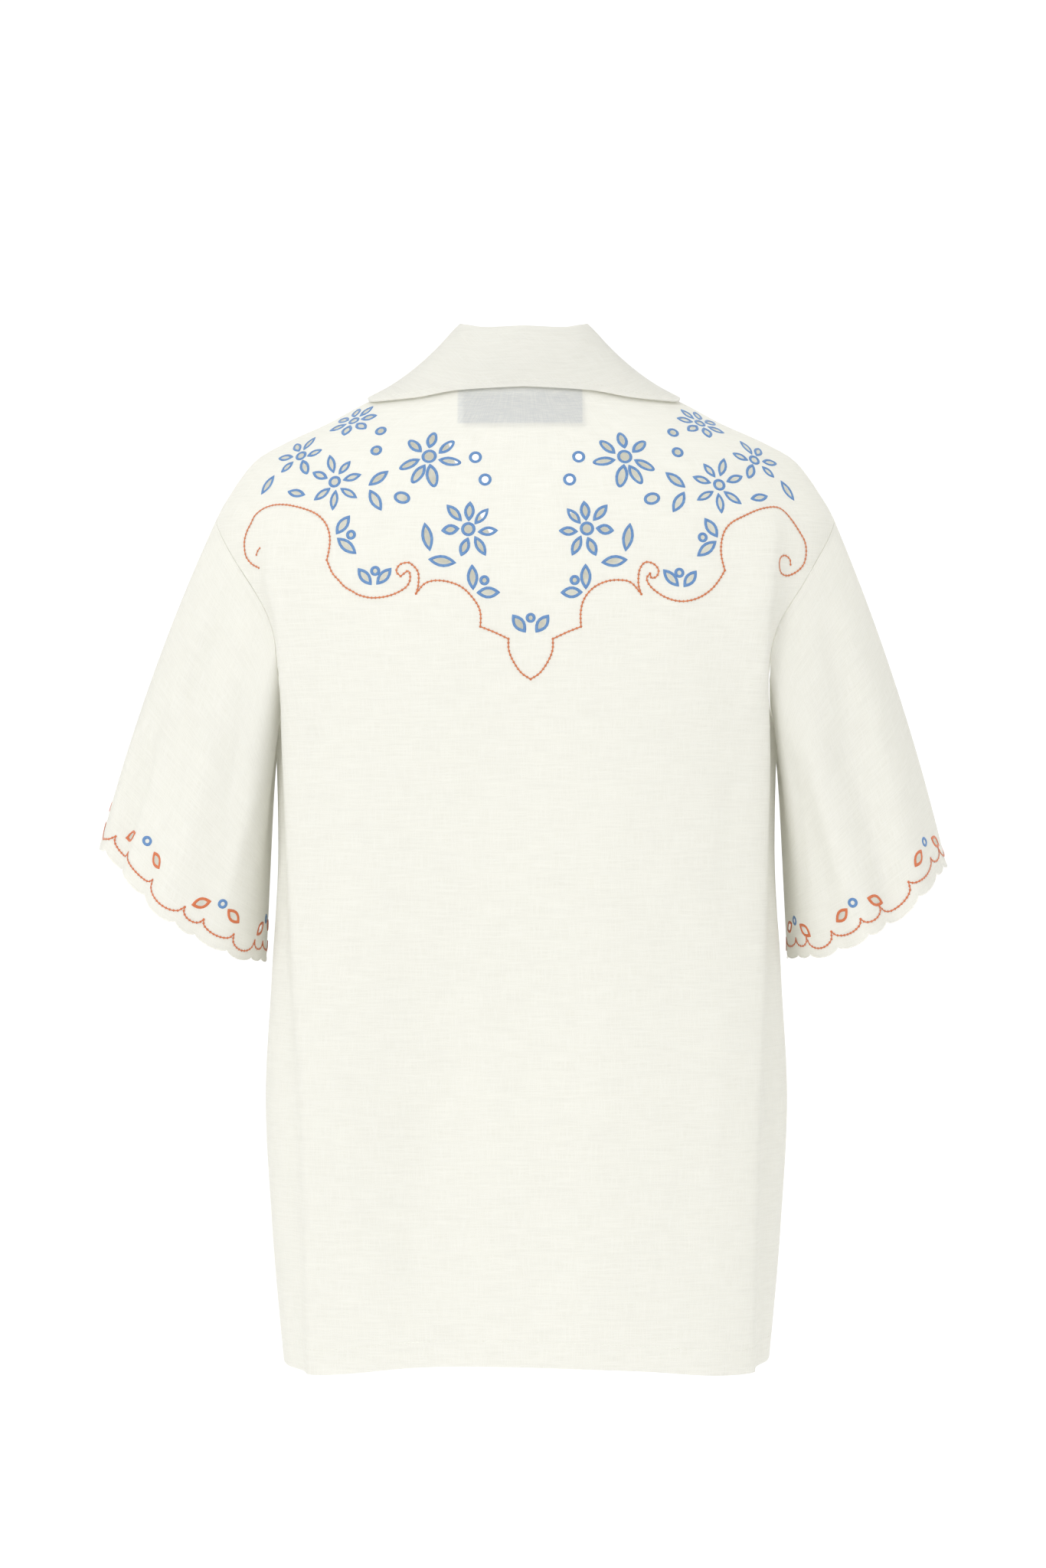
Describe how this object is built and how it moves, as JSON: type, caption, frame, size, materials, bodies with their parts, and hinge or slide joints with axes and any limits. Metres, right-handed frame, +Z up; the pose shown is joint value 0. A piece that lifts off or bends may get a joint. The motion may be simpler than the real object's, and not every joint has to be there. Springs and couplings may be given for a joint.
{
  "type": "embroidered shirt",
  "caption": "Short-sleeved camp shirt in cream cloth with a camp collar, an eyelet-embroidered back yoke and scalloped sleeve edges.",
  "frame": {"origin": "middle of the back neck, where the wearer's neck and shoulders hold the shirt up", "axes": "+Z up, the front faces -Y, +X is the wearer's left"},
  "size_m": [0.6507, 0.2416, 0.7946],
  "materials": {
    "cloth": "matte cream woven cloth",
    "embroidery_blue": "blue satin stitch",
    "embroidery_orange": "orange chain stitch",
    "thread": "cream sewing thread",
    "label": "pale woven tape",
    "button": "pearly shell"
  },
  "bodies": {
    "root": {"back": "cloth", "front_left": "cloth", "front_right": "cloth", "lapel_left": "cloth", "lapel_right": "cloth", "collar": "cloth", "sleeve_left_back": "cloth", "sleeve_left_front": "cloth", "sleeve_right_back": "cloth", "sleeve_right_front": "cloth", "neck_label": "label", "button_1": "button", "button_2": "button", "button_3": "button", "button_4": "button", "button_5": "button"}
  },
  "joints": []
}
